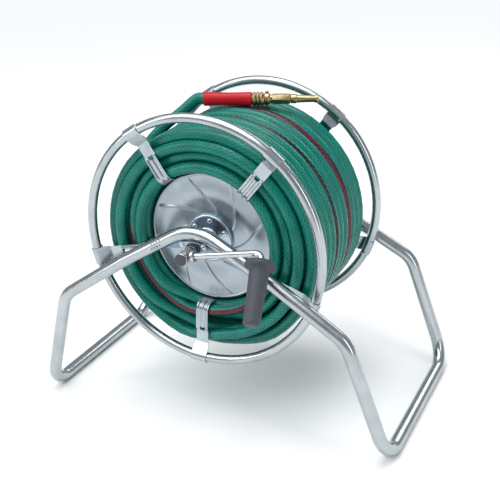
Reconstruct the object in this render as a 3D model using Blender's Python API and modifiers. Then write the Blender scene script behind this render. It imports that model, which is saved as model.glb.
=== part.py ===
"""Portable garden hose reel on a bent tube stand, with a crank, a wound hose and a spray nozzle.

Metres. +Z is up, the reel turns about Y, the crank side faces -Y and the feet rest on Z = 0.
"""

import math

import bmesh
import bpy
from mathutils import Matrix, Vector
from mathutils.geometry import convex_hull_2d

for old in list(bpy.data.objects):
    bpy.data.objects.remove(old, do_unlink=True)

# Fits
WELD_GAP = 0.0003
RUN_GAP = 0.0003
HOLE_START = 0.05
HOLE_END = 0.30

# Reel
AXLE_HEIGHT = 0.3065
AXLE_RADIUS = 0.010
AXLE_WALL = 0.0022
AXLE_HALF_LENGTH = 0.186
RING_RADIUS = 0.200
RING_TUBE_RADIUS = 0.008
RING_HALF_SPACING = 0.1245
DISC_RADIUS = 0.1066
DISC_HALF_SPACING = 0.090
DISC_SHEET = 0.0016
DISC_BEAD_RADIUS = 0.0028
HUB_FLANGE_RADIUS = 0.040
HUB_BOSS_RADIUS = 0.016
HUB_RIVET_CIRCLE = 0.030
HUB_RIVET_ANGLES = (22, 82, 142, 202, 262, 322)
HUB_RIVET_SEAT = 0.0074
DISC_DISH_RADIUS = 0.074
DISC_DISH_HEIGHT = 0.0035
DISC_SHOULDER_INSET = 0.0106
DISC_SHOULDER_HEIGHT = 0.0012
RIVET_SHANK_RADIUS = 0.0025
RIVET_HEAD_RADIUS = 0.0042
RIVET_HEAD_HEIGHT = 0.0022

# Spoke straps
STRAP_ANGLES = (120.5, 48.5, -23.5, -95.5, -167.5)
STRAP_SHEET = 0.002
STRAP_WIDTH = 0.021
STRAP_CLAMP_WIDTH = 0.027
STRAP_LEG_PLANE = RING_HALF_SPACING - 0.006
STRAP_BEND_RADIUS = 0.014
STRAP_CREASE_RADIUS = RING_RADIUS - 0.022
CLAMP_CLEARANCE = 0.0009

# Stand
STAND_TUBE_RADIUS = 0.0105
STAND_SPACING_APEX = 0.143
STAND_SPACING_FOOT = 0.161
APEX_HEIGHT = AXLE_HEIGHT + 0.0375
ARM_MIDDLE_X = 0.130
ARM_MIDDLE_HEIGHT = APEX_HEIGHT - 0.071
KNEE_X = 0.250
KNEE_HEIGHT = APEX_HEIGHT - 0.146
FOOT_X = 0.310
APEX_BEND = 0.075
ARM_BEND = 0.120
KNEE_BEND = 0.050
FOOT_BEND = 0.042
SWAGE_X = 0.062

# Bearings
GUSSET_SHEET = 0.004
GUSSET_HALF_WIDTH = 0.052
GUSSET_LOBE = 0.0165
BLOCK_SHEET = 0.0036
BLOCK_LOBE = 0.015
BLOCK_EAR = 0.0056
BLOCK_RIVET_X = 0.0185
BLOCK_RIVET_Z = 0.0075
WASHER_RADIUS = 0.0145
WASHER_THICKNESS = 0.0018
RETAINING_RING_RADIUS = 0.0128
RETAINING_RING_THICKNESS = 0.0015

# Crank
CRANK_PLANE = 0.172
CRANK_ANGLE = 10.0
CRANK_LENGTH = 0.131
CRANK_BAR_RADIUS = 0.005
CRANK_BEND = 0.012
GRIP_FOLD = 46.0
GRIP_START = 0.0135
GRIP_LENGTH = 0.096
GRIP_FLANGE_RADIUS = 0.0235
GRIP_TOP_RADIUS = 0.0148
GRIP_END_RADIUS = 0.0122
GRIP_WALL_AT_END = 0.006

# Hose and what is on it
HOSE_RADIUS = 0.009
COIL_INNER_RADIUS = DISC_RADIUS + STRAP_SHEET + 0.0029
COIL_MIDDLE_RADIUS = 0.1765
COIL_END_RADIUS = 0.167
COIL_HALF_WIDTH = STRAP_LEG_PLANE - 0.004
COIL_CORNER = 0.016
# The free end over the winding: angle round the reel in degrees, radius and place along the axle.
FREE_END = (
    (152.0, 0.1868, -0.0310),
    (140.0, 0.1874, -0.0250),
    (128.0, 0.1896, -0.0130),
    (117.0, 0.1938, 0.0025),
)
FREE_END_LEAD = 0.012
NOZZLE_START = Vector((-0.056, 0.0213, 0.1905))
NOZZLE_END = Vector((0.119, 0.083, 0.1845))
SLEEVE_LENGTH = 0.078
SLEEVE_RADIUS = 0.0112
COUPLING_LENGTH = 0.0205
COUPLING_RADIUS = 0.0115
CLAW_LENGTH = 0.012
CLAW_RADIUS = 0.0098
BODY_LENGTH = 0.029
BODY_HEX_RADIUS = 0.0088

assembly = bpy.data.collections.new("garden_hose_reel_cart")
cutters = bpy.data.collections.new("cutters")
bpy.context.scene.collection.children.link(assembly)
bpy.context.scene.collection.children.link(cutters)
cutters.hide_render = True


def material(name, colour, metallic, roughness):
    made = bpy.data.materials.new(name)
    made.use_nodes = True
    shader = made.node_tree.nodes["Principled BSDF"]
    shader.inputs["Base Color"].default_value = (*colour, 1.0)
    shader.inputs["Metallic"].default_value = metallic
    shader.inputs["Roughness"].default_value = roughness
    return made


def add_mesh(name, mesh, mat, smooth=True, group=assembly):
    mesh.materials.append(mat)
    for face in mesh.polygons:
        face.use_smooth = smooth
    made = bpy.data.objects.new(name, mesh)
    group.objects.link(made)
    return made


def turned(name, profile, steps, mat, closed=False, group=assembly):
    """A solid turned about its own Z from (radius, height) points, top to bottom down the outside."""
    mesh = bpy.data.meshes.new(name)
    count = len(profile)
    edges = [(i, i + 1) for i in range(count - 1)]
    if closed:
        edges.append((count - 1, 0))
    mesh.from_pydata([(r, 0.0, z) for r, z in profile], edges, [])
    made = add_mesh(name, mesh, mat, group=group)
    screw = made.modifiers.new("turn", "SCREW")
    screw.steps = steps
    screw.render_steps = steps
    screw.use_merge_vertices = True
    screw.merge_threshold = 0.00005
    screw.use_smooth_shade = True
    screw.use_normal_calculate = False
    return made


def on_reel_axis(made, side, along=0.0):
    """Turns a part's own Z to point out of the drum on one side (-1 is the crank side)."""
    turn = Matrix.Rotation(math.radians(90.0 if side < 0 else -90.0), 4, "X")
    made.matrix_world = Matrix.Translation((0.0, side * along, AXLE_HEIGHT)) @ turn
    return made


def aim(made, origin, direction, roll_hint=(0.0, 0.0, 1.0)):
    """Puts a part's origin at a point and its own Z along a direction."""
    z_axis = Vector(direction).normalized()
    x_axis = Vector(roll_hint).cross(z_axis).normalized()
    y_axis = z_axis.cross(x_axis)
    turn = Matrix((x_axis, y_axis, z_axis)).transposed().to_4x4()
    made.matrix_world = Matrix.Translation(origin) @ turn
    return made


def bent_path(corners, radii, steps):
    """Points along a line whose inner corners are rounded to the bend radii."""
    path = [Vector(corners[0])]
    for before, corner, after, radius in zip(corners, corners[1:], corners[2:], radii):
        corner = Vector(corner)
        to_before = (Vector(before) - corner).normalized()
        to_after = (Vector(after) - corner).normalized()
        half = to_before.angle(to_after) / 2.0
        reach = radius / math.tan(half)
        middle = corner + (to_before + to_after).normalized() * radius / math.sin(half)
        start = corner + to_before * reach - middle
        end = corner + to_after * reach - middle
        span = start.angle(end)
        count = max(2, round(steps * math.degrees(span) / 90.0))
        for i in range(count + 1):
            part = i / count
            ahead = math.sin((1.0 - part) * span) / math.sin(span)
            behind = math.sin(part * span) / math.sin(span)
            path.append(middle + start * ahead + end * behind)
    path.append(Vector(corners[-1]))
    return path


def swept(name, path, radius, sides, mat):
    """A round bar or tube with capped ends along a path."""
    curve = bpy.data.curves.new(name, "CURVE")
    curve.dimensions = "3D"
    curve.bevel_depth = radius
    curve.bevel_resolution = sides
    curve.use_fill_caps = True
    line = curve.splines.new("POLY")
    line.points.add(len(path) - 1)
    for point, place in zip(line.points, path):
        point.co = (*place, 1.0)
    curve.materials.append(mat)
    made = bpy.data.objects.new(name, curve)
    assembly.objects.link(made)
    return made


def cut(made, cutter):
    cutter.display_type = "WIRE"
    cutter.hide_render = True
    hole = made.modifiers.new("cut", "BOOLEAN")
    hole.operation = "DIFFERENCE"
    hole.solver = "EXACT"
    hole.object = cutter


def bar(name, radius, bottom, top, steps, mat, group=assembly):
    return turned(name, [(0.0, top), (radius, top), (radius, bottom), (0.0, bottom)], steps, mat, group=group)


def plate(name, outline, thickness, mat):
    """A flat sheet in X and Z, centred on its own Y."""
    shape = bmesh.new()
    corners = [shape.verts.new((x, -thickness / 2.0, z)) for x, z in outline]
    face = shape.faces.new(corners)
    grown = bmesh.ops.extrude_face_region(shape, geom=[face])
    raised = [item for item in grown["geom"] if isinstance(item, bmesh.types.BMVert)]
    bmesh.ops.translate(shape, verts=raised, vec=(0.0, thickness, 0.0))
    bmesh.ops.recalc_face_normals(shape, faces=shape.faces)
    mesh = bpy.data.meshes.new(name)
    shape.to_mesh(mesh)
    shape.free()
    return add_mesh(name, mesh, mat, smooth=False)


def circle_points(centre_x, centre_z, radius, steps):
    turns = [2.0 * math.pi * i / steps for i in range(steps)]
    return [Vector((centre_x + radius * math.cos(t), centre_z + radius * math.sin(t))) for t in turns]


ZINC = material("zinc_plated_steel", (0.62, 0.66, 0.70), 1.0, 0.32)
DISC_ZINC = material("zinc_plated_sheet", (0.60, 0.64, 0.68), 1.0, 0.38)
BRIGHT = material("bright_steel", (0.72, 0.74, 0.76), 1.0, 0.22)
GRIP_PLASTIC = material("dark_grip_plastic", (0.06, 0.065, 0.07), 0.0, 0.55)
HOSE_GREEN = material("green_hose", (0.02, 0.24, 0.17), 0.0, 0.35)
RED_PLASTIC = material("red_sleeve", (0.50, 0.02, 0.03), 0.0, 0.35)
BRASS = material("brass", (0.62, 0.45, 0.20), 1.0, 0.30)

# Stand: two equal bent tubes, each the other turned half round, meeting in a swaged joint by each apex.
spacing_slope = (STAND_SPACING_FOOT - STAND_SPACING_APEX) / KNEE_X
arm_slope = (APEX_HEIGHT - ARM_MIDDLE_HEIGHT) / ARM_MIDDLE_X


def arm_point(x, y_side):
    return (x, y_side * (STAND_SPACING_APEX + spacing_slope * abs(x)), APEX_HEIGHT - arm_slope * abs(x))


def side_corners(y_side):
    middle_y = STAND_SPACING_APEX + spacing_slope * ARM_MIDDLE_X
    return [
        (ARM_MIDDLE_X, y_side * middle_y, ARM_MIDDLE_HEIGHT),
        (KNEE_X, y_side * STAND_SPACING_FOOT, KNEE_HEIGHT),
        (FOOT_X, y_side * STAND_SPACING_FOOT, STAND_TUBE_RADIUS),
    ]


half_corners = [arm_point(-SWAGE_X, -1), arm_point(0.0, -1)]
half_corners += side_corners(-1)
half_corners += reversed(side_corners(1))
joint_gap = Vector((WELD_GAP, 0.0, 0.0))
half_corners.append(Vector(arm_point(SWAGE_X, 1)) + joint_gap)
half_radii = [APEX_BEND, ARM_BEND, KNEE_BEND, FOOT_BEND, FOOT_BEND, KNEE_BEND, ARM_BEND]
half_path = bent_path(half_corners, half_radii, 6)
swept("stand_tube_right", half_path, STAND_TUBE_RADIUS, 2, ZINC)
other_path = [Vector((-p.x, -p.y, p.z)) for p in half_path]
swept("stand_tube_left", other_path, STAND_TUBE_RADIUS, 2, ZINC)

# Gussets welded under each apex, and the bearing block riveted to each gusset.
apex_half_turn = math.atan(arm_slope)
apex_centre_height = APEX_HEIGHT - APEX_BEND / math.cos(apex_half_turn)


def underside(x):
    """Height of the apex bend's underside, less the weld gap."""
    reach = APEX_BEND * math.sin(apex_half_turn)
    inner = APEX_BEND - STAND_TUBE_RADIUS - WELD_GAP
    if abs(x) < reach * inner / APEX_BEND:
        return apex_centre_height + math.sqrt(inner * inner - x * x)
    drop = (STAND_TUBE_RADIUS + WELD_GAP) / math.cos(apex_half_turn)
    return APEX_HEIGHT - arm_slope * abs(x) - drop


GUSSET_STEPS = 16
gusset_outline = []
for i in range(GUSSET_STEPS + 1):
    x = GUSSET_HALF_WIDTH * (2.0 * i / GUSSET_STEPS - 1.0)
    gusset_outline.append((x, underside(x) - WELD_GAP))
for degrees in range(0, -181, -20):
    turn = math.radians(degrees)
    gusset_outline.append((GUSSET_LOBE * math.cos(turn), AXLE_HEIGHT + GUSSET_LOBE * math.sin(turn)))
block_dots = circle_points(0.0, 0.0, BLOCK_LOBE, 28)
for ear in (-1.0, 1.0):
    block_dots += circle_points(ear * BLOCK_RIVET_X, BLOCK_RIVET_Z, BLOCK_EAR, 20)
block_outline = [tuple(block_dots[i]) for i in convex_hull_2d(block_dots)]

gusset_out = STAND_SPACING_APEX + GUSSET_SHEET / 2.0
block_in = gusset_out + WELD_GAP
block_middle = block_in + BLOCK_SHEET / 2.0
washer_out = STAND_SPACING_APEX - GUSSET_SHEET / 2.0 - WELD_GAP
hub_tip = washer_out - WASHER_THICKNESS - WELD_GAP
rivet_hole = RIVET_SHANK_RADIUS + WELD_GAP


def rivet(name, grip_length, mat):
    """A domed rivet: its own Z = 0 is the face its head sits on, and the closed end is below."""
    tail = 0.0016
    profile = [
        (0.0, RIVET_HEAD_HEIGHT),
        (RIVET_HEAD_RADIUS * 0.6, RIVET_HEAD_HEIGHT * 0.8),
        (RIVET_HEAD_RADIUS, WELD_GAP),
        (RIVET_SHANK_RADIUS, WELD_GAP),
        (RIVET_SHANK_RADIUS, -grip_length - WELD_GAP),
        (RIVET_HEAD_RADIUS * 0.85, -grip_length - WELD_GAP),
        (RIVET_HEAD_RADIUS * 0.85, -grip_length - tail),
        (0.0, -grip_length - tail),
    ]
    return turned(name, profile, 12, mat)


for side, word in ((-1, "front"), (1, "rear")):
    gusset = plate(f"gusset_{word}", gusset_outline, GUSSET_SHEET, ZINC)
    gusset.location = (0.0, side * STAND_SPACING_APEX, 0.0)
    block = plate(f"bearing_block_{word}", block_outline, BLOCK_SHEET, BRIGHT)
    block.location = (0.0, side * block_middle, AXLE_HEIGHT)
    loose = bar(f"cut_gusset_{word}", AXLE_RADIUS + 0.0012, HOLE_START, HOLE_END, 32, ZINC, cutters)
    cut(gusset, on_reel_axis(loose, side))
    close = bar(f"cut_block_{word}", AXLE_RADIUS + RUN_GAP, HOLE_START, HOLE_END, 32, ZINC, cutters)
    cut(block, on_reel_axis(close, side))
    for ear, name in ((-1.0, "left"), (1.0, "right")):
        stack = GUSSET_SHEET + WELD_GAP + BLOCK_SHEET
        pin = on_reel_axis(rivet(f"block_rivet_{word}_{name}", stack, BRIGHT), side, block_in + BLOCK_SHEET)
        pin.location.x = ear * BLOCK_RIVET_X
        pin.location.z += BLOCK_RIVET_Z
        for target in (gusset, block):
            hole = bar(f"cut_{target.name}_{name}", rivet_hole, HOLE_START, HOLE_END, 12, ZINC, cutters)
            on_reel_axis(hole, side)
            hole.location.x = ear * BLOCK_RIVET_X
            hole.location.z += BLOCK_RIVET_Z
            cut(target, hole)
    washer_profile = [
        (AXLE_RADIUS + RUN_GAP, 0.0),
        (WASHER_RADIUS, 0.0),
        (WASHER_RADIUS, -WASHER_THICKNESS),
        (AXLE_RADIUS + RUN_GAP, -WASHER_THICKNESS),
    ]
    on_reel_axis(turned(f"thrust_washer_{word}", washer_profile, 32, BRIGHT, closed=True), side, washer_out)
    ring_profile = [
        (AXLE_RADIUS + RUN_GAP, RETAINING_RING_THICKNESS),
        (RETAINING_RING_RADIUS, RETAINING_RING_THICKNESS),
        (RETAINING_RING_RADIUS, 0.0),
        (AXLE_RADIUS + RUN_GAP, 0.0),
    ]
    ring_seat = block_in + BLOCK_SHEET + RUN_GAP
    on_reel_axis(turned(f"retaining_ring_{word}", ring_profile, 32, GRIP_PLASTIC, closed=True), side, ring_seat)

# Axle tube with a plug in each end; the crank bar goes through a cross hole at the front.
bore = AXLE_RADIUS - AXLE_WALL
axle_profile = [
    (bore, AXLE_HALF_LENGTH),
    (AXLE_RADIUS, AXLE_HALF_LENGTH),
    (AXLE_RADIUS, -AXLE_HALF_LENGTH),
    (bore, -AXLE_HALF_LENGTH),
]
axle = on_reel_axis(turned("axle_tube", axle_profile, 32, BRIGHT, closed=True), -1)
crank_turn = math.radians(CRANK_ANGLE)
crank_along = Vector((math.cos(crank_turn), 0.0, math.sin(crank_turn)))
crank_down = Vector((math.sin(crank_turn), 0.0, -math.cos(crank_turn)))
crank_root = Vector((0.0, -CRANK_PLANE, AXLE_HEIGHT))
cross_hole = bar("cut_cross_hole", CRANK_BAR_RADIUS + RUN_GAP, -0.03, 0.03, 24, BRIGHT, cutters)
cut(axle, aim(cross_hole, crank_root, crank_along))
for side, word in ((-1, "front"), (1, "rear")):
    plug_profile = [
        (0.0, 0.0018),
        (AXLE_RADIUS - 0.0012, 0.0018),
        (AXLE_RADIUS - 0.0004, 0.0012),
        (AXLE_RADIUS - 0.0004, WELD_GAP),
        (bore - WELD_GAP, WELD_GAP),
        (bore - WELD_GAP, -0.006),
        (0.0, -0.006),
    ]
    on_reel_axis(turned(f"axle_plug_{word}", plug_profile, 32, GRIP_PLASTIC), side, AXLE_HALF_LENGTH)

# Pressed discs with a rolled rim, each with a hub riveted on its outer face.
sheet = DISC_SHEET / 2.0
bead_centre = DISC_RADIUS - DISC_BEAD_RADIUS
bead = []
for degrees in range(150, -211, -40):
    turn = math.radians(degrees)
    bead.append((bead_centre + DISC_BEAD_RADIUS * math.cos(turn), DISC_BEAD_RADIUS * math.sin(turn)))
disc_profile = [(AXLE_RADIUS + WELD_GAP, sheet), (HUB_FLANGE_RADIUS + 0.004, sheet)]
disc_shoulder = DISC_RADIUS - DISC_SHOULDER_INSET
disc_profile += [(DISC_DISH_RADIUS, DISC_DISH_HEIGHT + sheet), (disc_shoulder, DISC_SHOULDER_HEIGHT + sheet)]
disc_profile += bead[:-1]
disc_profile += [(disc_shoulder, DISC_SHOULDER_HEIGHT - sheet), (DISC_DISH_RADIUS, DISC_DISH_HEIGHT - sheet)]
disc_profile += [(HUB_FLANGE_RADIUS + 0.004, -sheet), (AXLE_RADIUS + WELD_GAP, -sheet)]
hub_foot = DISC_HALF_SPACING + sheet + WELD_GAP
hub_profile = [
    (AXLE_RADIUS + WELD_GAP, hub_tip - hub_foot),
    (HUB_BOSS_RADIUS - 0.001, hub_tip - hub_foot),
    (HUB_BOSS_RADIUS, hub_tip - hub_foot - 0.001),
    (HUB_BOSS_RADIUS + 0.001, 0.013),
    (HUB_BOSS_RADIUS + 0.006, 0.0085),
    (HUB_FLANGE_RADIUS - 0.003, 0.005),
    (HUB_FLANGE_RADIUS, 0.0028),
    (HUB_FLANGE_RADIUS, 0.0),
    (AXLE_RADIUS + WELD_GAP, 0.0),
]
for side, word in ((-1, "front"), (1, "rear")):
    disc = turned(f"drum_disc_{word}", disc_profile, 48, DISC_ZINC, closed=True)
    on_reel_axis(disc, side, DISC_HALF_SPACING)
    hub = on_reel_axis(turned(f"hub_{word}", hub_profile, 32, ZINC, closed=True), side, hub_foot)
    for number, degrees in enumerate(HUB_RIVET_ANGLES, 1):
        turn = math.radians(degrees)
        across = HUB_RIVET_CIRCLE * math.cos(turn)
        up = HUB_RIVET_CIRCLE * math.sin(turn)
        stack = HUB_RIVET_SEAT + WELD_GAP + DISC_SHEET
        pin = rivet(f"hub_rivet_{word}_{number}", stack, BRIGHT)
        on_reel_axis(pin, side, hub_foot + HUB_RIVET_SEAT)
        pin.location.x += across
        pin.location.z += up
        for target in (disc, hub):
            hole = bar(f"cut_{target.name}_{number}", rivet_hole, HOLE_START, HOLE_END, 12, ZINC, cutters)
            on_reel_axis(hole, side)
            hole.location.x += across
            hole.location.z += up
            cut(target, hole)

# Ring rims.
RING_SIDES = 10
ring_profile = []
for i in range(RING_SIDES):
    turn = -2.0 * math.pi * i / RING_SIDES
    ring_profile.append((RING_RADIUS + RING_TUBE_RADIUS * math.cos(turn), RING_TUBE_RADIUS * math.sin(turn)))
for side, word in ((-1, "front"), (1, "rear")):
    ring = turned(f"rim_ring_{word}", ring_profile, 72, ZINC, closed=True)
    on_reel_axis(ring, side, RING_HALF_SPACING)

# Spoke straps: ring clamp, radial leg, across the drum on the disc rims, radial leg, ring clamp.
strap_inner = DISC_RADIUS + WELD_GAP + STRAP_SHEET / 2.0
clamp_radius = RING_TUBE_RADIUS + CLAMP_CLEARANCE + STRAP_SHEET / 2.0
crease = Vector((STRAP_CREASE_RADIUS, 0.0, STRAP_LEG_PLANE))
ring_centre = Vector((RING_RADIUS, 0.0, RING_HALF_SPACING))
to_crease = crease - ring_centre
lean = math.atan2(to_crease.z, to_crease.x)
opening = math.acos(clamp_radius / to_crease.length)
CLAMP_WRAP = 205.0
CLAMP_STEPS = 11
clamp = []
for i in range(CLAMP_STEPS + 1):
    turn = lean - opening - math.radians(CLAMP_WRAP) * i / CLAMP_STEPS
    clamp.append(ring_centre + clamp_radius * Vector((math.cos(turn), 0.0, math.sin(turn))))
leg = bent_path(
    [(strap_inner, 0.0, 0.0), (strap_inner, 0.0, STRAP_LEG_PLANE), tuple(crease)],
    [STRAP_BEND_RADIUS],
    6,
)
half_strap = [(point, STRAP_WIDTH) for point in leg[1:]]
half_strap += [(point, STRAP_CLAMP_WIDTH) for point in clamp]
strap_line = [(Vector((p.x, 0.0, -p.z)), w) for p, w in reversed(half_strap)] + half_strap


def strap(name, degrees):
    mesh = bpy.data.meshes.new(name)
    points = []
    for place, width in strap_line:
        points.append((place.x, -width / 2.0, place.z))
        points.append((place.x, width / 2.0, place.z))
    faces = [(2 * i, 2 * i + 1, 2 * i + 3, 2 * i + 2) for i in range(len(strap_line) - 1)]
    mesh.from_pydata(points, [], faces)
    made = add_mesh(name, mesh, ZINC, smooth=False)
    thick = made.modifiers.new("sheet", "SOLIDIFY")
    thick.thickness = STRAP_SHEET
    thick.offset = 0.0
    thick.use_even_offset = True
    stand_up = Matrix.Rotation(math.radians(-90.0), 4, "X")
    around = Matrix.Rotation(math.radians(-degrees), 4, "Y")
    made.matrix_world = Matrix.Translation((0.0, 0.0, AXLE_HEIGHT)) @ around @ stand_up
    return made


for number, degrees in enumerate(STRAP_ANGLES, 1):
    strap(f"spoke_strap_{number}", degrees)

# Crank bar: straight through the axle, then bent to the grip. It is drawn folded part of the way down.
fold = math.radians(GRIP_FOLD)
grip_along = Vector((0.0, -math.cos(fold), 0.0)) + crank_down * math.sin(fold)
crank_corner = crank_root + crank_along * CRANK_LENGTH
grip_depth = GRIP_START + GRIP_LENGTH - GRIP_WALL_AT_END - 0.002
crank_corners = [
    crank_root - crank_along * (AXLE_RADIUS - 0.0006),
    crank_corner,
    crank_corner + grip_along * grip_depth,
]
swept("crank_bar", bent_path(crank_corners, [CRANK_BEND], 7), CRANK_BAR_RADIUS, 2, BRIGHT)
collar_bore = CRANK_BAR_RADIUS + WELD_GAP
collar_profile = [
    (collar_bore, 0.0055),
    (0.0084, 0.0055),
    (0.009, 0.0048),
    (0.009, 0.0007),
    (0.0084, 0.0),
    (collar_bore, 0.0),
]
collar = turned("crank_collar", collar_profile, 20, BRIGHT, closed=True)
aim(collar, crank_root + crank_along * (AXLE_RADIUS + 0.0016), crank_along)

# Grip: a plastic sleeve with a hand guard, free to turn on the bent end of the crank bar.
grip_bore = CRANK_BAR_RADIUS + RUN_GAP
grip_profile = [
    (grip_bore, GRIP_LENGTH),
    (0.0095, GRIP_LENGTH),
    (0.0165, GRIP_LENGTH - 0.0015),
    (GRIP_FLANGE_RADIUS - 0.002, GRIP_LENGTH - 0.005),
    (GRIP_FLANGE_RADIUS, GRIP_LENGTH - 0.0085),
    (GRIP_FLANGE_RADIUS - 0.0015, GRIP_LENGTH - 0.0115),
    (GRIP_TOP_RADIUS + 0.003, GRIP_LENGTH - 0.014),
    (GRIP_TOP_RADIUS, GRIP_LENGTH - 0.020),
    (GRIP_END_RADIUS, 0.004),
    (GRIP_END_RADIUS - 0.0015, 0.0008),
    (GRIP_END_RADIUS - 0.004, 0.0),
    (0.0, 0.0),
    (0.0, GRIP_WALL_AT_END),
    (grip_bore, GRIP_WALL_AT_END),
]
grip = turned("crank_grip", grip_profile, 24, GRIP_PLASTIC, closed=True)
aim(grip, crank_corner + grip_along * (GRIP_START + GRIP_LENGTH), -grip_along, (1.0, 0.0, 0.0))

# Hose winding as one crowned ring, with the free end lying over its top.
coil_profile = []
CROWN_STEPS = 8
for i in range(CROWN_STEPS + 1):
    place = 1.0 - 2.0 * i / CROWN_STEPS
    radius = COIL_MIDDLE_RADIUS - (COIL_MIDDLE_RADIUS - COIL_END_RADIUS) * place * place
    coil_profile.append((radius, place * (COIL_HALF_WIDTH - 0.006)))
end_radius = COIL_END_RADIUS - 0.008
coil_profile.append((end_radius, -COIL_HALF_WIDTH))
coil_profile.append((COIL_INNER_RADIUS + COIL_CORNER, -COIL_HALF_WIDTH))
coil_profile.append((COIL_INNER_RADIUS, COIL_CORNER - COIL_HALF_WIDTH))
coil_profile.append((COIL_INNER_RADIUS, COIL_HALF_WIDTH - COIL_CORNER))
coil_profile.append((COIL_INNER_RADIUS + COIL_CORNER, COIL_HALF_WIDTH))
coil_profile.append((end_radius, COIL_HALF_WIDTH))
on_reel_axis(turned("hose_coil", coil_profile, 56, HOSE_GREEN, closed=True), -1)

reel_centre = Vector((0.0, 0.0, AXLE_HEIGHT))
nozzle_start = reel_centre + NOZZLE_START
nozzle_along = (NOZZLE_END - NOZZLE_START).normalized()
sleeve_inset = 0.020
tail_end = nozzle_start + nozzle_along * sleeve_inset


def smooth_line(points, per_span):
    """A rounded line through the points, straight on past each end."""
    padded = [points[0] * 2.0 - points[1]] + points + [points[-1] * 2.0 - points[-2]]
    line = []
    for before, start, end, after in zip(padded, padded[1:], padded[2:], padded[3:]):
        for step in range(per_span):
            t = step / per_span
            curve = (end - before) * t + (before * 2.0 - start * 5.0 + end * 4.0 - after) * t**2
            curve += (start * 3.0 - before - end * 3.0 + after) * t**3
            line.append(start + curve * 0.5)
    return line + [points[-1]]


free_points = []
for degrees, lift, y in FREE_END:
    turn = math.radians(degrees)
    free_points.append(reel_centre + Vector((lift * math.cos(turn), y, lift * math.sin(turn))))
free_points += [nozzle_start - nozzle_along * FREE_END_LEAD, nozzle_start, tail_end]
swept("hose_tail", smooth_line(free_points, 3), HOSE_RADIUS, 2, HOSE_GREEN)

# Nozzle: red sleeve over the hose end, brass coupling, claw piece, hex body and the twisting barrel.
sleeve_bore = HOSE_RADIUS + WELD_GAP
sleeve_profile = [
    (0.0, SLEEVE_LENGTH),
    (SLEEVE_RADIUS - 0.0015, SLEEVE_LENGTH),
    (SLEEVE_RADIUS, SLEEVE_LENGTH - 0.0015),
    (SLEEVE_RADIUS, 0.0015),
    (SLEEVE_RADIUS - 0.001, 0.0),
    (sleeve_bore, 0.0),
    (sleeve_bore, sleeve_inset + WELD_GAP),
    (0.0, sleeve_inset + WELD_GAP),
]
aim(turned("nozzle_sleeve", sleeve_profile, 24, RED_PLASTIC), nozzle_start, nozzle_along)
coupling_profile = [(0.0, COUPLING_LENGTH), (0.0086, COUPLING_LENGTH)]
RIBS = 3
rib_pitch = (COUPLING_LENGTH - 0.003) / RIBS
for i in range(RIBS):
    top = COUPLING_LENGTH - 0.0015 - rib_pitch * i
    coupling_profile += [
        (COUPLING_RADIUS - 0.0018, top),
        (COUPLING_RADIUS, top - rib_pitch * 0.3),
        (COUPLING_RADIUS, top - rib_pitch * 0.7),
        (COUPLING_RADIUS - 0.0018, top - rib_pitch),
    ]
coupling_profile += [(0.0086, 0.0), (0.0, 0.0)]
coupling_at = SLEEVE_LENGTH + WELD_GAP
aim(
    turned("hose_coupling", coupling_profile, 24, BRASS),
    nozzle_start + nozzle_along * coupling_at,
    nozzle_along,
)
claw_at = coupling_at + COUPLING_LENGTH + WELD_GAP
claw_profile = [
    (0.0, CLAW_LENGTH),
    (0.0062, CLAW_LENGTH),
    (0.0068, CLAW_LENGTH * 0.72),
    (CLAW_RADIUS, CLAW_LENGTH * 0.6),
    (CLAW_RADIUS, 0.001),
    (CLAW_RADIUS - 0.001, 0.0),
    (0.0, 0.0),
]
aim(
    turned("claw_coupling", claw_profile, 24, BRASS),
    nozzle_start + nozzle_along * claw_at,
    nozzle_along,
)
body_at = claw_at + CLAW_LENGTH + WELD_GAP
spindle_radius = 0.0042
body_profile = [
    (0.0, BODY_LENGTH + 0.012),
    (spindle_radius, BODY_LENGTH + 0.012),
    (spindle_radius, BODY_LENGTH),
    (0.0062, BODY_LENGTH),
    (BODY_HEX_RADIUS, BODY_LENGTH - 0.003),
    (BODY_HEX_RADIUS, 0.0025),
    (0.0070, 0.0),
    (0.0, 0.0),
]
aim(
    turned("nozzle_body", body_profile, 6, BRASS),
    nozzle_start + nozzle_along * body_at,
    nozzle_along,
)
barrel_at = body_at + BODY_LENGTH + RUN_GAP
barrel_length = (NOZZLE_END - NOZZLE_START).length - barrel_at
barrel_bore = spindle_radius + RUN_GAP
outlet_radius = 0.0022
barrel_profile = [
    (outlet_radius, barrel_length),
    (0.0052, barrel_length),
    (0.0062, barrel_length - 0.001),
    (0.0062, barrel_length - 0.007),
    (0.0056, barrel_length - 0.008),
    (0.0064, 0.010),
    (0.0074, 0.008),
    (0.0074, 0.001),
    (0.0066, 0.0),
    (barrel_bore, 0.0),
    (barrel_bore, 0.0135),
    (outlet_radius, 0.0150),
]
aim(
    turned("nozzle_barrel", barrel_profile, 24, BRASS, closed=True),
    nozzle_start + nozzle_along * barrel_at,
    nozzle_along,
)
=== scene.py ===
"""Portable garden hose reel: the finished pieces, laid round the working frame in assembly order."""
import math
import random

import bmesh
import bpy
from mathutils import Matrix, Vector


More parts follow.
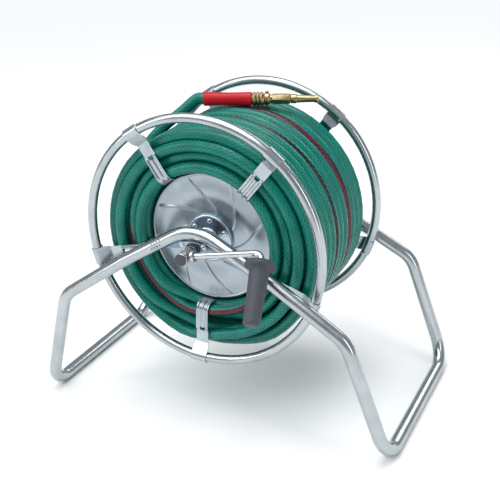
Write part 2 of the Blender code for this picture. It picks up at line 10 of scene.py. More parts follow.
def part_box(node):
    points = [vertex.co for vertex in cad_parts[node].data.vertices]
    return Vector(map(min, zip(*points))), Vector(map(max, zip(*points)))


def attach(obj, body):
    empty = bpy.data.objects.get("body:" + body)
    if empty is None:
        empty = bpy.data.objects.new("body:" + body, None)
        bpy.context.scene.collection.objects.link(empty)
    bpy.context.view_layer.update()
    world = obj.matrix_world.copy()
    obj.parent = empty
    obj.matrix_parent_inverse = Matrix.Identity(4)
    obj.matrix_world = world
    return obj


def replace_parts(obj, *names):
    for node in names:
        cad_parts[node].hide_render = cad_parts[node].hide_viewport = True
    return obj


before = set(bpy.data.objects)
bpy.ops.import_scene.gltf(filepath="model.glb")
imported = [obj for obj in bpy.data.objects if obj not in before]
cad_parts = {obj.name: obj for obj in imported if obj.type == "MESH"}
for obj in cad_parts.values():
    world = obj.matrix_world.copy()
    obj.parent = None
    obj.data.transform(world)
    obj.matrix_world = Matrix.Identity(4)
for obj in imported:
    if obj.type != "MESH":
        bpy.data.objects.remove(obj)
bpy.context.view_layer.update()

# Camera and studio
# A standing view from the crank side and a little to the right, over a plain pale floor.
# Soft boxes on four sides, so that every bent tube carries one long highlight.
view_right = Vector((0.89753, 0.43658, -0.06197))
view_up = Vector((-0.12077, 0.37855, 0.91767))
view_back = view_right.cross(view_up).normalized()
camera_data = bpy.data.cameras.new("camera")
camera_data.lens = 63.98
camera_data.sensor_width = 36.0
camera_data.clip_end = 60.0
camera = bpy.data.objects.new("camera", camera_data)
bpy.context.scene.collection.objects.link(camera)
camera_turn = Matrix((view_right, view_up, view_back)).transposed().to_4x4()
camera.matrix_world = Matrix.Translation((0.65156, -1.21475, 0.83299)) @ camera_turn
bpy.context.scene.camera = camera
bpy.context.scene.view_settings.view_transform = "Standard"


class Finish:
    """A procedural material under way: its Principled shader, and short ways to add and join nodes."""

    def __init__(self, name, constants):
        self.material = bpy.data.materials.new(name)
        self.material.use_nodes = True
        self.nodes = self.material.node_tree.nodes
        self.shader = self.nodes["Principled BSDF"]
        for socket, value in constants.items():
            self.shader.inputs[socket].default_value = value

    def join(self, output, target):
        self.material.node_tree.links.new(output, target)

    def coords(self, output="Object"):
        return self.nodes.new("ShaderNodeTexCoord").outputs[output]

    def scaled(self, vector, scale):
        node = self.nodes.new("ShaderNodeMapping")
        node.inputs["Scale"].default_value = scale
        self.join(vector, node.inputs["Vector"])
        return node.outputs["Vector"]

    def clouds(self, vector, scale, detail=3.0, roughness=0.5):
        node = self.nodes.new("ShaderNodeTexNoise")
        node.inputs["Scale"].default_value = scale
        node.inputs["Detail"].default_value = detail
        node.inputs["Roughness"].default_value = roughness
        self.join(vector, node.inputs["Vector"])
        return node.outputs["Fac"]

    def math(self, operation, first, second=0.0, third=0.0):
        node = self.nodes.new("ShaderNodeMath")
        node.operation = operation
        for socket, value in zip(node.inputs, (first, second, third)):
            if isinstance(value, (int, float)):
                socket.default_value = value
            else:
                self.join(value, socket)
        return node.outputs[0]

    def spread(self, value, low, high, to_low=0.0, to_high=1.0, smooth=False):
        node = self.nodes.new("ShaderNodeMapRange")
        if smooth:
            node.interpolation_type = "SMOOTHSTEP"
        for socket, number in zip(list(node.inputs)[1:5], (low, high, to_low, to_high)):
            socket.default_value = number
        self.join(value, node.inputs[0])
        return node.outputs[0]

    def blend(self, factor, first, second):
        node = self.nodes.new("ShaderNodeMix")
        node.data_type = "RGBA"
        for socket, value in ((node.inputs[6], first), (node.inputs[7], second)):
            if isinstance(value, tuple):
                socket.default_value = (*value, 1.0)
            else:
                self.join(value, socket)
        self.join(factor, node.inputs[0])
        return node.outputs[2]

    def bump(self, height, strength, distance):
        node = self.nodes.new("ShaderNodeBump")
        node.inputs["Strength"].default_value = strength
        node.inputs["Distance"].default_value = distance
        self.join(height, node.inputs["Height"])
        self.join(node.outputs["Normal"], self.shader.inputs["Normal"])


floor_finish = Finish("pale_floor", {"Roughness": 0.8})
floor_shade = floor_finish.clouds(floor_finish.coords(), 1.5)
floor_finish.join(
    floor_finish.blend(floor_shade, (0.93, 0.93, 0.93), (0.95, 0.95, 0.95)),
    floor_finish.shader.inputs["Base Color"],
)
floor_shape = bmesh.new()
bmesh.ops.create_grid(floor_shape, x_segments=2, y_segments=2, size=14.0)
floor_mesh = bpy.data.meshes.new("floor")
floor_shape.to_mesh(floor_mesh)
floor_shape.free()
floor_mesh.materials.append(floor_finish.material)
floor = bpy.data.objects.new("floor", floor_mesh)
bpy.context.scene.collection.objects.link(floor)

world = bpy.data.worlds.new("studio")
world.use_nodes = True
world.node_tree.nodes["Background"].inputs["Color"].default_value = (0.88, 0.94, 1.0, 1.0)
world.node_tree.nodes["Background"].inputs["Strength"].default_value = 0.42
bpy.context.scene.world = world
sky = bpy.data.lights.new("wide_overhead_light", "SUN")
sky.angle = math.radians(70.0)
sky.energy = 2.2
sky_lamp = bpy.data.objects.new("wide_overhead_light", sky)
bpy.context.scene.collection.objects.link(sky_lamp)
sky_lamp.matrix_world = Vector((-0.25, -0.35, 1.0)).to_track_quat("Z", "Y").to_matrix().to_4x4()
reel_middle = Vector((0.0, 0.0, 0.30))
for name, place, wide, high, watts in (
    ("soft_box_left", (-1.9, -1.7, 1.2), 0.5, 1.6, 12.0),
    ("soft_box_right", (2.1, -0.7, 1.0), 0.4, 1.6, 8.0),
    ("soft_box_over", (0.1, 0.1, 2.4), 1.4, 0.5, 12.0),
    ("soft_box_behind", (0.5, 2.2, 1.6), 1.8, 0.6, 10.0),
):
    lamp = bpy.data.lights.new(name, "AREA")
    lamp.shape = "RECTANGLE"
    lamp.size = wide
    lamp.size_y = high
    lamp.energy = watts
    box = bpy.data.objects.new(name, lamp)
    bpy.context.scene.collection.objects.link(box)
    facing = (Vector(place) - reel_middle).to_track_quat("Z", "Y").to_matrix().to_4x4()
    box.matrix_world = Matrix.Translation(place) @ facing

# Hose
# Half inch garden hose in clear green PVC over a light diamond braid, with a maroon and black stripe.
# One length wound on the straps in four layers; its free end comes over the top to the nozzle.
random.seed(23)
ring_low, ring_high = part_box("rim_ring_front")
ring_tube = (ring_high[1] - ring_low[1]) / 2.0
ring_radius = (ring_high[2] - ring_low[2]) / 2.0 - ring_tube
ring_plane = -(ring_low[1] + ring_high[1]) / 2.0
reel_centre = Vector((0.0, 0.0, (ring_low[2] + ring_high[2]) / 2.0))

hose_radius = 0.009
turn_pitch = 0.01805
winding_reach = 0.1080
layer_middle_radii = (0.1192, 0.1356, 0.1520, 0.1682)
layer_end_radii = (0.1196, 0.1364, 0.1530, 0.1672)
layer_turns = (13, 12, 13, 12)
layer_sags = (0.0, 0.0015, 0.0075, 0.0150)
points_per_turn = 52
winding_start = -145.0
crossing_span = 92.0
crossing_lift = 0.0012
turn_wobble = 0.0009
turn_swell = 0.0009
hose_sides = 18
# Turns counted along the hose against the way its stripe faces: 0 outwards, 90 to the rear, -90 to the front.
stripe_turns = (
    (0.0, 110.0), (12.50, 115.0), (12.72, 282.0), (13.05, 286.0), (13.25, 480.0), (38.9, 480.0),
    (39.5, 540.0), (42.8, 540.0), (43.15, 652.0), (43.7, 660.0), (44.1, 900.0), (45.8, 910.0),
    (46.15, 1050.0), (46.75, 1060.0), (47.15, 1260.0), (60.0, 1260.0),
)


def ease(value):
    value = min(1.0, max(0.0, value))
    return value * value * (3.0 - 2.0 * value)


def stripe_facing(turns):
    for (before, first), (after, second) in zip(stripe_turns, stripe_turns[1:]):
        if turns <= after:
            return math.radians(first + (second - first) * ease((turns - before) / (after - before)))
    return math.radians(stripe_turns[-1][1])


def on_winding(angle, lift, y):
    return reel_centre + Vector((lift * math.cos(angle), y, lift * math.sin(angle)))


def layer_lift(layer, y, angle):
    """Radius of a layer's turns: fuller in the middle of the drum, and hanging a little slack underneath."""
    end, middle = layer_end_radii[layer], layer_middle_radii[layer]
    slack = layer_sags[layer] * 0.5 * (1.0 - math.sin(angle))
    return middle + (end - middle) * (y / winding_reach) ** 4 + slack


turn_places = []
for layer, turns in enumerate(layer_turns):
    side = 1.0 if layer % 2 == 0 else -1.0
    inset = turn_pitch * 0.5 * (layer % 2)
    rows = [side * (winding_reach - inset - turn_pitch * turn) for turn in range(turns)]
    turn_places += [(layer, row, turn / (turns - 1)) for turn, row in enumerate(rows)]
hose_line = []
hose_facings = []
for turn, (place, next_place) in enumerate(zip(turn_places, turn_places[1:] + turn_places[-1:])):
    layer, row, progress = place
    next_layer, next_row = next_place[:2]
    delay = 2.0 * progress if layer == next_layer else 1.0
    wobble = random.uniform(-turn_wobble, turn_wobble)
    swell = random.uniform(0.0, turn_swell) * (layer > 0)
    for step in range(points_per_turn):
        part = step / points_per_turn
        angle = math.radians(winding_start - 360.0 * part)
        zone = (part - 1.0) * 360.0 / crossing_span + 1.0
        across = ease(3.0 * zone - delay)
        y = row + (next_row - row) * across + wobble * math.sin(2.0 * math.pi * part)
        lift = layer_lift(layer, row, angle)
        lift += (layer_lift(next_layer, next_row, angle) - lift) * across
        lift += swell * math.sin(math.pi * part) ** 2
        lift += crossing_lift * layer * math.sin(math.pi * ease(zone)) ** 2
        hose_line.append(on_winding(angle, lift, y))
        hose_facings.append(stripe_facing(turn + part))
left_off = round(points_per_turn * crossing_span / 360.0)
hose_line = hose_line[:-left_off]
hose_facings = hose_facings[:-left_off]

# Both ends of the hose: angle round the reel in degrees, radius from the axle and place along it.
# The inner end lies inside the drum and comes out between two straps.
inner_end = (
    (-92.0, 0.0830, 0.0580),
    (-106.0, 0.0940, 0.0620),
    (-119.0, 0.1080, 0.0740),
    (-130.0, 0.1165, 0.0880),
    (-139.0, 0.1193, 0.1000),
)
free_end = (
    (300.0, 0.1780, 0.0995),
    (288.0, 0.1870, 0.0985),
    (272.0, 0.1990, 0.0910),
    (255.0, 0.2003, 0.0740),
    (238.0, 0.1985, 0.0520),
    (221.0, 0.1950, 0.0290),
    (204.0, 0.1915, 0.0060),
    (187.0, 0.1888, -0.0130),
    (170.0, 0.1872, -0.0250),
    (152.0, 0.1868, -0.0310),
    (140.0, 0.1874, -0.0250),
    (128.0, 0.1896, -0.0130),
    (117.0, 0.1938, 0.0025),
)
nozzle_start = reel_centre + Vector((-0.056, 0.0213, 0.1905))
nozzle_end = reel_centre + Vector((0.119, 0.083, 0.1845))
nozzle_along = (nozzle_end - nozzle_start).normalized()
straight_lead = 0.012
sleeve_inset = 0.020
line_steps = 5
inner_points = [on_winding(math.radians(angle), lift, y) for angle, lift, y in inner_end] + hose_line[:1]
free_points = hose_line[-1:] + [on_winding(math.radians(angle), lift, y) for angle, lift, y in free_end]
free_points += [nozzle_start + nozzle_along * reach for reach in (-straight_lead, 0.0, sleeve_inset)]


def smooth_line(points, per_span):
    """A rounded line through the points, straight on past each end."""
    padded = [points[0] * 2.0 - points[1]] + points + [points[-1] * 2.0 - points[-2]]
    line = []
    for before, start, end, after in zip(padded, padded[1:], padded[2:], padded[3:]):
        for step in range(per_span):
            t = step / per_span
            curve = (end - before) * t + (before * 2.0 - start * 5.0 + end * 4.0 - after) * t**2
            curve += (start * 3.0 - before - end * 3.0 + after) * t**3
            line.append(start + curve * 0.5)
    return line + [points[-1]]


inner_line = smooth_line(inner_points, line_steps)[:-1]
free_line = smooth_line(free_points, line_steps)[1:]
hose_line = inner_line + hose_line + free_line
hose_facings = hose_facings[:1] * len(inner_line) + hose_facings + hose_facings[-1:] * len(free_line)

hose_shape = bmesh.new()
rings = len(hose_line)
bmesh.ops.create_grid(hose_shape, x_segments=rings - 1, y_segments=hose_sides, size=0.5)
run = [0.0]
for before, after in zip(hose_line, hose_line[1:]):
    run.append(run[-1] + (after - before).length)
around = hose_shape.loops.layers.uv.new("around_and_along")
for face in hose_shape.faces:
    for loop in face.loops:
        ring = round((loop.vert.co.x + 0.5) * (rings - 1))
        loop[around].uv = (loop.vert.co.y + 0.5, run[ring])
hose_frames = []
for before, place, after in zip(hose_line[:1] + hose_line, hose_line, hose_line[1:] + hose_line[-1:]):
    ahead = (after - before).normalized()
    outward = place - reel_centre
    outward.y = 0.0
    outward = (outward - ahead * outward.dot(ahead)).normalized()
    hose_frames.append((outward, outward.cross(ahead)))
for vert in hose_shape.verts:
    ring = round((vert.co.x + 0.5) * (rings - 1))
    facing = hose_facings[ring] + 2.0 * math.pi * vert.co.y
    outward, sideways = hose_frames[ring]
    vert.co = hose_line[ring] + (outward * math.cos(facing) + sideways * math.sin(facing)) * hose_radius
bmesh.ops.remove_doubles(hose_shape, verts=hose_shape.verts, dist=0.00001)
bmesh.ops.holes_fill(hose_shape, edges=[edge for edge in hose_shape.edges if edge.is_boundary], sides=0)
bmesh.ops.recalc_face_normals(hose_shape, faces=hose_shape.faces)


def finished_piece(name, shape, finish, body, smooth=True, sharp_at=None):
    """Turns a shape into a piece of the reel with its finish, riding on a body of the frame."""
    mesh = bpy.data.meshes.new(name)
    shape.to_mesh(mesh)
    shape.free()
    mesh.materials.append(finish.material)
    for face in mesh.polygons:
        face.use_smooth = smooth
    if sharp_at is not None:
        mesh.set_sharp_from_angle(angle=math.radians(sharp_at))
    piece = bpy.data.objects.new(name, mesh)
    bpy.context.scene.collection.objects.link(piece)
    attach(piece, body)
    return piece


hose_finish = Finish(
    "clear_green_braided_hose", {"Roughness": 0.22, "IOR": 1.5, "Specular IOR Level": 0.32}
)
split = hose_finish.nodes.new("ShaderNodeSeparateXYZ")
uv_node = hose_finish.nodes.new("ShaderNodeUVMap")
uv_node.uv_map = "around_and_along"
hose_finish.join(uv_node.outputs["UV"], split.inputs[0])
round_hose, along_hose = split.outputs[0], split.outputs[1]
yarns_around = 9.0
yarn_spacing = 0.0085
yarn_core = 0.05
yarn_edge = 0.20
stripe_fraying = 0.012
yarn_steps = hose_finish.math("DIVIDE", along_hose, yarn_spacing)
yarn_marks = []
for way in (1.0, -1.0):
    lane = hose_finish.math("MULTIPLY_ADD", round_hose, way * yarns_around, yarn_steps)
    middle = hose_finish.math("ABSOLUTE", hose_finish.math("SUBTRACT", hose_finish.math("FRACT", lane), 0.5))
    yarn_marks.append(hose_finish.spread(middle, yarn_core, yarn_edge, 1.0, 0.0, smooth=True))
braid = hose_finish.math("MAXIMUM", yarn_marks[0], yarn_marks[1])
body_clouds = hose_finish.clouds(hose_finish.coords(), 45.0)
fade = hose_finish.spread(body_clouds, 0.3, 0.7, 0.25, 0.75)
braid_seen = hose_finish.math("MULTIPLY", braid, fade)
green = hose_finish.blend(body_clouds, (0.0002, 0.105, 0.078), (0.0004, 0.160, 0.122))
green = hose_finish.blend(braid_seen, green, (0.006, 0.300, 0.235))
stripe_fray = hose_finish.math("MULTIPLY", hose_finish.math("SUBTRACT", braid, 0.5), stripe_fraying)
stripe_place = hose_finish.math("ADD", hose_finish.math("SUBTRACT", round_hose, 0.5), stripe_fray)


def band(finish, place, low, high, edge=0.006):
    rise = finish.spread(place, low - edge, low + edge, smooth=True)
    fall = finish.spread(place, high - edge, high + edge, 1.0, 0.0, smooth=True)
    return finish.math("MULTIPLY", rise, fall)


stripe_reach = 0.110
stripe_seam = 0.004
maroon = hose_finish.blend(braid_seen, (0.062, 0.004, 0.015), (0.210, 0.042, 0.072))
black_line = hose_finish.blend(braid_seen, (0.008, 0.006, 0.008), (0.050, 0.035, 0.045))
front_half = band(hose_finish, stripe_place, -stripe_reach, stripe_seam)
rear_half = band(hose_finish, stripe_place, stripe_seam, stripe_reach)
striped = hose_finish.blend(rear_half, hose_finish.blend(front_half, green, maroon), black_line)
hose_finish.join(striped, hose_finish.shader.inputs["Base Color"])
hose_finish.bump(braid, 0.25, 0.0004)
hose = finished_piece("hose", hose_shape, hose_finish, "reel")
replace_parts(hose, "hose_coil", "hose_tail")

# Stand tubes
# Two equal tubes of bright zinc plated steel, bent cold: sloping arm, knee, leg and floor bar.
# The end of each slips into the next beside the apex, where it is punched fast.
stand_tube_radius = 0.0105
apex_height = 0.344
apex_half_spacing = 0.143
foot_half_spacing = 0.161
arm_middle = (0.130, 0.273)
knee = (0.250, 0.198)
foot_x = 0.310
joint_x = 0.062
joint_gap = 0.0003
stand_bends = (0.075, 0.120, 0.050, 0.042, 0.042, 0.050, 0.120)
spacing_slope = (foot_half_spacing - apex_half_spacing) / knee[0]
arm_slope = (apex_height - arm_middle[1]) / arm_middle[0]


def arm_point(x, side):
    y = side * (apex_half_spacing + spacing_slope * abs(x))
    return Vector((x, y, apex_height - arm_slope * abs(x)))


def half_stand(side):
    middle_y = side * (apex_half_spacing + spacing_slope * arm_middle[0])
    return [
        Vector((arm_middle[0], middle_y, arm_middle[1])),
        Vector((knee[0], side * foot_half_spacing, knee[1])),
        Vector((foot_x, side * foot_half_spacing, stand_tube_radius)),
    ]


def run_straight(shape, rim, vector):
    """Draws an open rim of edges along a vector and returns the new rim."""
    drawn = bmesh.ops.extrude_edge_only(shape, edges=rim)["geom"]
    verts = {item for item in drawn if isinstance(item, bmesh.types.BMVert)}
    bmesh.ops.translate(shape, verts=list(verts), vec=vector)
    return [item for item in drawn if isinstance(item, bmesh.types.BMEdge) and verts.issuperset(item.verts)]


def bent_tube(corners, bends, radius, sides=24, steps_per_quarter=16):
    """A round tube: straight runs drawn out, and each corner spun about its bend centre."""
    shape = bmesh.new()
    heading = (corners[1] - corners[0]).normalized()
    upright = heading.to_track_quat("Z", "Y").to_matrix().to_4x4()
    start_seat = Matrix.Translation(corners[0]) @ upright
    bmesh.ops.create_circle(shape, segments=sides, radius=radius, matrix=start_seat)
    rim = list(shape.edges)
    place = corners[0]
    for corner, after, bend in zip(corners[1:], corners[2:], bends):
        onward = (after - corner).normalized()
        angle = heading.angle(onward)
        reach = bend * math.tan(angle / 2.0)
        start = corner - heading * reach
        rim = run_straight(shape, rim, start - place)
        axis = heading.cross(onward).normalized()
        centre = start + axis.cross(heading) * bend
        steps = max(3, round(steps_per_quarter * angle / (math.pi / 2.0)))
        bent = bmesh.ops.spin(
            shape, geom=rim, cent=centre, axis=axis, angle=angle, steps=steps, use_merge=False
        )
        rim = [item for item in bent["geom_last"] if isinstance(item, bmesh.types.BMEdge)]
        place = corner + onward * reach
        heading = onward
    run_straight(shape, rim, corners[-1] - place)
    bmesh.ops.holes_fill(shape, edges=[edge for edge in shape.edges if edge.is_boundary], sides=0)
    bmesh.ops.recalc_face_normals(shape, faces=shape.faces)
    return shape


def zinc_finish(name, pale, deep, smoothest, roughest, grain):
    """Zinc plate: cloudy bluish patches, uneven gloss and a very fine grain."""
    finish = Finish(name, {"Metallic": 1.0})
    where = finish.coords()
    patches = finish.spread(finish.clouds(where, 22.0, 5.0, 0.6), 0.32, 0.68)
    finish.join(finish.blend(patches, pale, deep), finish.shader.inputs["Base Color"])
    gloss = finish.spread(finish.clouds(where, 60.0, 4.0, 0.6), 0.3, 0.7, smoothest, roughest)
    finish.join(gloss, finish.shader.inputs["Roughness"])
    finish.bump(finish.clouds(where, grain, 2.0), 0.10, 0.0002)
    return finish


tube_finish = zinc_finish("zinc_plated_tube", (0.50, 0.53, 0.54), (0.38, 0.42, 0.44), 0.16, 0.28, 700.0)
stand_line = [arm_point(-joint_x, -1.0), arm_point(0.0, -1.0)] + half_stand(-1.0) + half_stand(1.0)[::-1]
stand_line.append(arm_point(joint_x, 1.0) + Vector((joint_gap, 0.0, 0.0)))
for name, turn in (("right", 0.0), ("left", math.pi)):
    stand_shape = bent_tube(stand_line, stand_bends, stand_tube_radius, sides=28)
    half_turn = Matrix.Rotation(turn, 3, "Z")
    bmesh.ops.rotate(stand_shape, verts=stand_shape.verts, cent=(0.0, 0.0, 0.0), matrix=half_turn)
    stand_piece = finished_piece(
        f"stand_tube_{name}", stand_shape, tube_finish, "stand", sharp_at=40.0
    )
    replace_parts(stand_piece, f"stand_tube_{name}")

# Punch marks
# Two rows of shallow punch marks lock each slipped tube joint on the crank side and its twin behind.
# The marks are coloured darker than the tube: painted shade of the punched dents.
mark_rows = (0.55, -0.25)
mark_flatness = 0.5
mark_radius = 0.0018
mark_stand_out = 0.0002
mark_spacing = 0.0055
mark_count = 4
# Dark punch mark colour: painted shade of the pressed-in dents, laid on small raised domes.
punch_mark_shade_finish = zinc_finish("punch_mark_painted_shade", (0.20, 0.24, 0.27), (0.13, 0.16, 0.19), 0.30, 0.45, 700.0)
for name, side in (("front", -1.0), ("rear", 1.0)):
    marks = bmesh.new()
    arm_way = (arm_point(side * 0.1, side) - arm_point(0.0, side)).normalized()
    out = arm_way.cross(Vector((0.0, 0.0, 1.0))).normalized()
    out = out if out.y * side > 0.0 else -out
    for row in mark_rows:
        lean = (out * math.cos(row) + Vector((0.0, 0.0, 1.0)) * math.sin(row)).normalized()
        for number in range(mark_count):
            along = (number - (mark_count - 1) / 2.0) * mark_spacing
            spot = arm_point(side * joint_x, side) + arm_way * along
            spot += lean * (stand_tube_radius - mark_stand_out)
            flat = Matrix.Diagonal((1.0, 1.0, mark_flatness, 1.0))
            seat = Matrix.Translation(spot) @ lean.to_track_quat("Z", "Y").to_matrix().to_4x4() @ flat
            bmesh.ops.create_uvsphere(marks, u_segments=12, v_segments=8, radius=mark_radius, matrix=seat)
    finished_piece(f"joint_punch_marks_{name}", marks, punch_mark_shade_finish, "stand")

# Gussets and bearing blocks
# A steel plate is welded under each apex; the bearing block that carries the axle is riveted to it.
# Plates are punched, so their edges are slightly rounded over.


def softened_copy(node, rounding, segments=2, corner=25.0):
    """The frame's own solid with its sharp edges rounded over."""
    shape = bmesh.new()
    shape.from_mesh(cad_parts[node].data)
    bmesh.ops.remove_doubles(shape, verts=shape.verts, dist=0.00002)
    bmesh.ops.dissolve_limit(
        shape, angle_limit=math.radians(1.0), verts=shape.verts, edges=shape.edges, delimit={"NORMAL"}
    )
    sharp = [e for e in shape.edges if e.is_manifold and e.calc_face_angle() > math.radians(corner)]
    bmesh.ops.bevel(
        shape,
        geom=sharp,
        offset=rounding,
        offset_type="OFFSET",
        segments=segments,
        profile=0.5,
        affect="EDGES",
        material=-1,
        clamp_overlap=True,
    )
    return shape


plate_finish = zinc_finish("zinc_plated_plate", (0.26, 0.36, 0.45), (0.16, 0.24, 0.32), 0.22, 0.36, 500.0)
block_finish = zinc_finish("zinc_plated_block", (0.36, 0.45, 0.53), (0.24, 0.32, 0.40), 0.18, 0.32, 500.0)
bright_finish = zinc_finish("bright_plated_steel", (0.62, 0.63, 0.63), (0.50, 0.52, 0.53), 0.10, 0.22, 900.0)
sheet_rounding = 0.0005
for side in ("front", "rear"):
    for node, finish, body, slot in (
        (f"gusset_{side}", plate_finish, "stand", "zinc"),
        (f"bearing_block_{side}", block_finish, "stand", "bright_steel"),
        (f"thrust_washer_{side}", bright_finish, "reel", "bright_steel"),
    ):
        plate = softened_copy(node, sheet_rounding)
        piece = finished_piece(f"{node}_finished", plate, finish, body, sharp_at=30.0)
        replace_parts(piece, node)

# Rivets of the bearing blocks and hubs
# Steel rivets with low round heads, closed from the outside; the tails stay hidden behind the sheet.
rivet_head_height = 0.0022
rivet_rim_height = 0.0003
dome_steps = 8


def face_out(shape, side, y, x=0.0, z=0.0):
    """Lays a shape made about +Z on the reel's axis, with its +Z out of the drum on one side."""
    quarter = math.radians(-90.0 * side)
    turn = Matrix.Rotation(quarter, 4, "X")
    place = Matrix.Translation(reel_centre + Vector((x, side * y, z))) @ turn
    bmesh.ops.transform(shape, matrix=place, verts=shape.verts)
    return shape


def spun(profile, steps, closed=False):
    """A solid of revolution about +Z from (radius, height) points."""
    shape = bmesh.new()
    points = [shape.verts.new((radius, 0.0, height)) for radius, height in profile]
    edges = [shape.edges.new(pair) for pair in zip(points, points[1:])]
    if closed:
        edges.append(shape.edges.new((points[-1], points[0])))
    bmesh.ops.spin(
        shape,
        geom=points + edges,
        cent=(0.0, 0.0, 0.0),
        axis=(0.0, 0.0, 1.0),
        angle=2.0 * math.pi,
        steps=steps,
        use_merge=True,
    )
    bmesh.ops.remove_doubles(shape, verts=shape.verts, dist=0.00002)
    bmesh.ops.recalc_face_normals(shape, faces=shape.faces)
    return shape


def arc(centre_radius, centre_height, size, first, last, steps):
    """Points of a round stretch in a turned profile."""
    turns = [math.radians(first + (last - first) * step / steps) for step in range(steps + 1)]
    return [(centre_radius + size * math.cos(t), centre_height + size * math.sin(t)) for t in turns]


def rivet_head(radius):
    """A low dome with a small flat rim under it."""
    turns = [math.pi / (2.0 * dome_steps) * step for step in range(dome_steps)]
    dome = [(radius * math.sin(t), rivet_head_height * math.cos(t)) for t in turns]
    return spun(dome + [(radius, rivet_rim_height), (radius, 0.0), (0.0, 0.0)], 24)


for side, word in ((-1.0, "front"), (1.0, "rear")):
    for hand in ("left", "right"):
        node = f"block_rivet_{word}_{hand}"
        low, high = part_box(node)
        middle = (low + high) / 2.0
        seat = (high.y if side > 0.0 else -low.y) - rivet_head_height
        head = face_out(rivet_head((high.x - low.x) / 2.0), side, seat, middle.x, middle.z - reel_centre.z)
        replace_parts(finished_piece(f"{node}_head", head, bright_finish, "stand"), node)

# Axle
# A bright steel tube turned right through the reel, with a grey plastic plug pressed into each end.
# A dark retaining ring beside each bearing block keeps it from sliding; its dark grey is partly painted shade
# of the gap round the axle root.
axle_low, axle_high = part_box("axle_tube")
axle_radius = (axle_high.z - axle_low.z) / 2.0
axle_reach = axle_high.y
axle_wall = 0.0022
axle_bore = axle_radius - axle_wall
axle_chamfer = 0.0006
half_axle = [
    (axle_bore, axle_reach - axle_chamfer),
    (axle_bore + axle_chamfer, axle_reach),
    (axle_radius - axle_chamfer, axle_reach),
    (axle_radius, axle_reach - axle_chamfer),
]
axle_profile = half_axle + [(radius, -height) for radius, height in half_axle[::-1]]
axle_shape = face_out(spun(axle_profile, 64, closed=True), -1.0, 0.0)
axle = finished_piece("axle", axle_shape, bright_finish, "reel", sharp_at=35.0)
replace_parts(axle, "axle_tube")

plastic_finish = Finish("dark_grey_moulded_plastic", {"IOR": 1.48, "Specular IOR Level": 0.4})
plastic_where = plastic_finish.coords()
plastic_tone = plastic_finish.clouds(plastic_where, 70.0, 4.0)
plastic_finish.join(
    plastic_finish.blend(plastic_tone, (0.045, 0.052, 0.062), (0.060, 0.068, 0.080)),
    plastic_finish.shader.inputs["Base Color"],
)
plastic_finish.join(
    plastic_finish.spread(plastic_tone, 0.3, 0.7, 0.42, 0.58), plastic_finish.shader.inputs["Roughness"]
)
plastic_finish.bump(plastic_finish.clouds(plastic_where, 1600.0, 2.0), 0.25, 0.0002)
plug_rim = axle_radius - 0.0005
plug_round = 0.0009
plug_face = 2.0 * plug_round
plug_depth = 0.006
plug_shank = axle_bore - joint_gap
plug_profile = [(0.0, plug_face), (plug_rim * 0.8, plug_face)]
plug_profile += arc(plug_rim - plug_round, plug_round, plug_round, 90.0, 0.0, 6)
plug_profile += [(plug_rim, joint_gap), (plug_shank, joint_gap)]
plug_profile += [(plug_shank, -plug_depth), (0.0, -plug_depth)]
ring_rounding = 0.0003
for side, word in ((-1.0, "front"), (1.0, "rear")):
    # The retaining ring takes the dark grey finish: partly its own colour, partly painted shade of the gap
    # where the axle enters the bearing block.
    ring = softened_copy(f"retaining_ring_{word}", ring_rounding)
    piece = finished_piece(
        f"retaining_ring_{word}_finished", ring, plastic_finish, "reel", sharp_at=30.0
    )
    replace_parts(piece, f"retaining_ring_{word}")
    plug = face_out(spun(plug_profile, 48), side, axle_reach)
    piece = finished_piece(
        f"axle_plug_{word}_finished", plug, plastic_finish, "reel", sharp_at=40.0
    )
    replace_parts(piece, f"axle_plug_{word}")

# Drum discs
# Pressed steel discs close the drum. Eight curved ribs are pressed in a swirl from the hub to the rim,
# and the edge is rolled into a bead.
disc_radius = 0.1066
disc_spacing = 0.090
disc_sheet = 0.0016
bead_radius = 0.0028
disc_bore = 0.0103
dish = 0.0035
dish_foot = 0.044
dish_crest = 0.074
dish_fall = 0.024
dish_at_bead = 0.0010
rib_count = 8
rib_first_end = 18.0
rib_sweep = 42.0
rib_root = 0.040
rib_end = 0.0995
rib_curl = 1.5
rib_fade_in = 0.006
rib_fade_out = 0.004
rib_height = 0.0019
rib_steep = 0.0006
rib_gentle = 0.0017
disc_steps = 400


def disc_height(radius):
    """Height of the plain dished sheet: flat under the hub, raised mid way, down again to the bead."""
    rise = ease((radius - dish_foot) / (dish_crest - dish_foot))
    fall = ease((radius - dish_crest) / dish_fall)
    return dish * rise - (dish - dish_at_bead) * fall


def rib_lift(radius, turn):
    """Height of the pressed ribs: a steep face on one side and a long gentle one on the other."""
    if not rib_root < radius < rib_end:
        return 0.0
    back = rib_sweep * ((rib_end - radius) / (rib_end - rib_root)) ** rib_curl
    pitch = 360.0 / rib_count
    off = (math.degrees(turn) - rib_first_end + back + pitch / 2.0) % pitch - pitch / 2.0
    across = math.radians(off) * radius
    width = rib_steep if across < 0.0 else rib_gentle
    ends = ease((radius - rib_root) / rib_fade_in) * ease((rib_end - radius) / rib_fade_out)
    return rib_height * ends * math.exp(-((across / width) ** 2))


